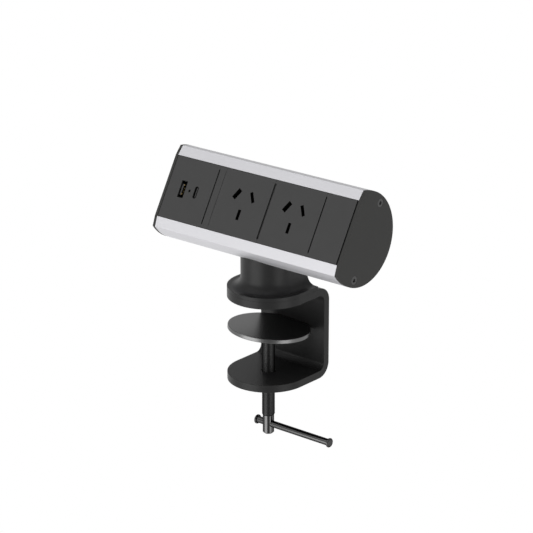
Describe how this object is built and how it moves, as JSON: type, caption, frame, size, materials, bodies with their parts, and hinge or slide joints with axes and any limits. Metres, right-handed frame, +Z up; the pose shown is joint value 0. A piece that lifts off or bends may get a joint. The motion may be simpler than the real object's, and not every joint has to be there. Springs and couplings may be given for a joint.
{
  "type": "clamp-on desk power strip",
  "caption": "Desk power strip: a leaning round-backed aluminium housing with mains sockets and charging ports, on a post with a screw clamp for a desk edge.",
  "frame": {"origin": "on the underside of the clamp's arm, on the screw's axis", "axes": "+X along the housing to the right, +Y back towards the clamp's spine, +Z up along the screw"},
  "size_m": [0.1754, 0.062, 0.1985],
  "materials": {
    "clamp_paint": "satin black powder coat",
    "black_nickel": "polished black nickel plate",
    "anodised_aluminium": "fine brushed, clear anodised",
    "panel_plastic": "fine matt moulding",
    "cap_plastic": "fine matt moulding",
    "module_plastic": "plain moulding",
    "dark_plastic": "plain moulding",
    "plated_steel": "zinc plated",
    "contact_brass": "bare",
    "board_laminate": "solder mask",
    "indicator_lens": "smoked clear moulding"
  },
  "bodies": {
    "strip": {"clamp_bracket": "clamp_paint", "clamp_nut": "black_nickel", "pedestal": "clamp_paint", "pedestal_screws": "plated_steel", "housing_screws": "plated_steel", "housing_extrusion": "anodised_aluminium", "left_end_cap": "cap_plastic", "right_end_cap": "cap_plastic", "end_cap_screws": "clamp_paint", "usb_faceplate": "panel_plastic", "usb_a_shell": "black_nickel", "usb_a_tongue": "panel_plastic", "usb_c_shell": "black_nickel", "usb_c_tongue": "panel_plastic", "usb_led_lens": "indicator_lens", "usb_circuit_board": "board_laminate", "usb_module_back": "dark_plastic", "spacer_strip": "panel_plastic", "socket_1_face": "panel_plastic", "socket_1_back": "module_plastic", "socket_1_contacts": "contact_brass", "socket_2_face": "panel_plastic", "socket_2_back": "module_plastic", "socket_2_contacts": "contact_brass", "filler_plate": "panel_plastic", "active_busbar": "contact_brass", "neutral_busbar": "contact_brass", "earth_busbar": "contact_brass", "terminal_block": "module_plastic", "terminal_screws": "contact_brass", "cable_gland": "dark_plastic", "gland_nut": "dark_plastic"},
    "swivel": {"swivel_ball": "plated_steel"},
    "pad": {"pressure_plate": "black_nickel", "plate_socket": "black_nickel"},
    "screw": {"clamp_screw": "black_nickel", "ball_retaining_ring": "plated_steel"},
    "bar": {"tommy_bar": "black_nickel", "tommy_bar_caps": "black_nickel"}
  },
  "joints": [
    {"name": "screw_travel", "type": "slide", "parent": "strip", "child": "swivel", "axis": [0, 0, 1], "range_m": [-0.023, 0.019]},
    {"name": "screw_spin", "type": "hinge", "parent": "swivel", "child": "screw", "pos_m": [0, 0, -0.02982], "axis": [0, 0, 1], "range_deg": [-8279, 6839]},
    {"name": "pad_tilt", "type": "hinge", "parent": "swivel", "child": "pad", "pos_m": [0, 0, -0.02982], "axis": [1, 0, 0], "range_deg": [-1.6, 9.2]},
    {"name": "bar_slide", "type": "slide", "parent": "screw", "child": "bar", "axis": [1, 0, 0], "range_m": [-0.0507, 0.0049]}
  ],
  "couplings": [
    {"joint": "screw_travel", "follows": "screw_spin", "m_per_rad": 0.00015915}
  ]
}
